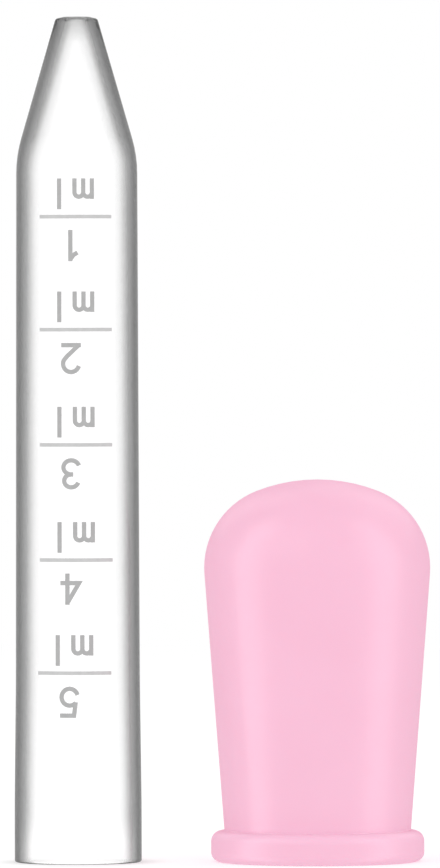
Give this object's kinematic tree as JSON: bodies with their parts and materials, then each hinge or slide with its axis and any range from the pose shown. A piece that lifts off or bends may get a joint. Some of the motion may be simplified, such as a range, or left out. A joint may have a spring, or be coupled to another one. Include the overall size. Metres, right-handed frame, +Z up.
{
  "type": "plastic dropper pipette",
  "caption": "Clear tapered dropper barrel with a millilitre scale, and the soft pink squeeze bulb that pushes onto its open foot, set down beside it.",
  "frame": {"origin": "on the surface that both pieces stand on, at the middle of the pair", "axes": "+Z up along both pieces' axes, towards the barrel's drip end and the bulb's dome; the barrel stands at -X and the bulb at +X"},
  "size_m": [0.0428, 0.0232, 0.0868],
  "materials": {
    "clear_plastic": "polished",
    "pink_silicone": "satin"
  },
  "bodies": {
    "root": {"graduated_barrel": "clear_plastic", "squeeze_bulb": "pink_silicone"}
  },
  "joints": []
}
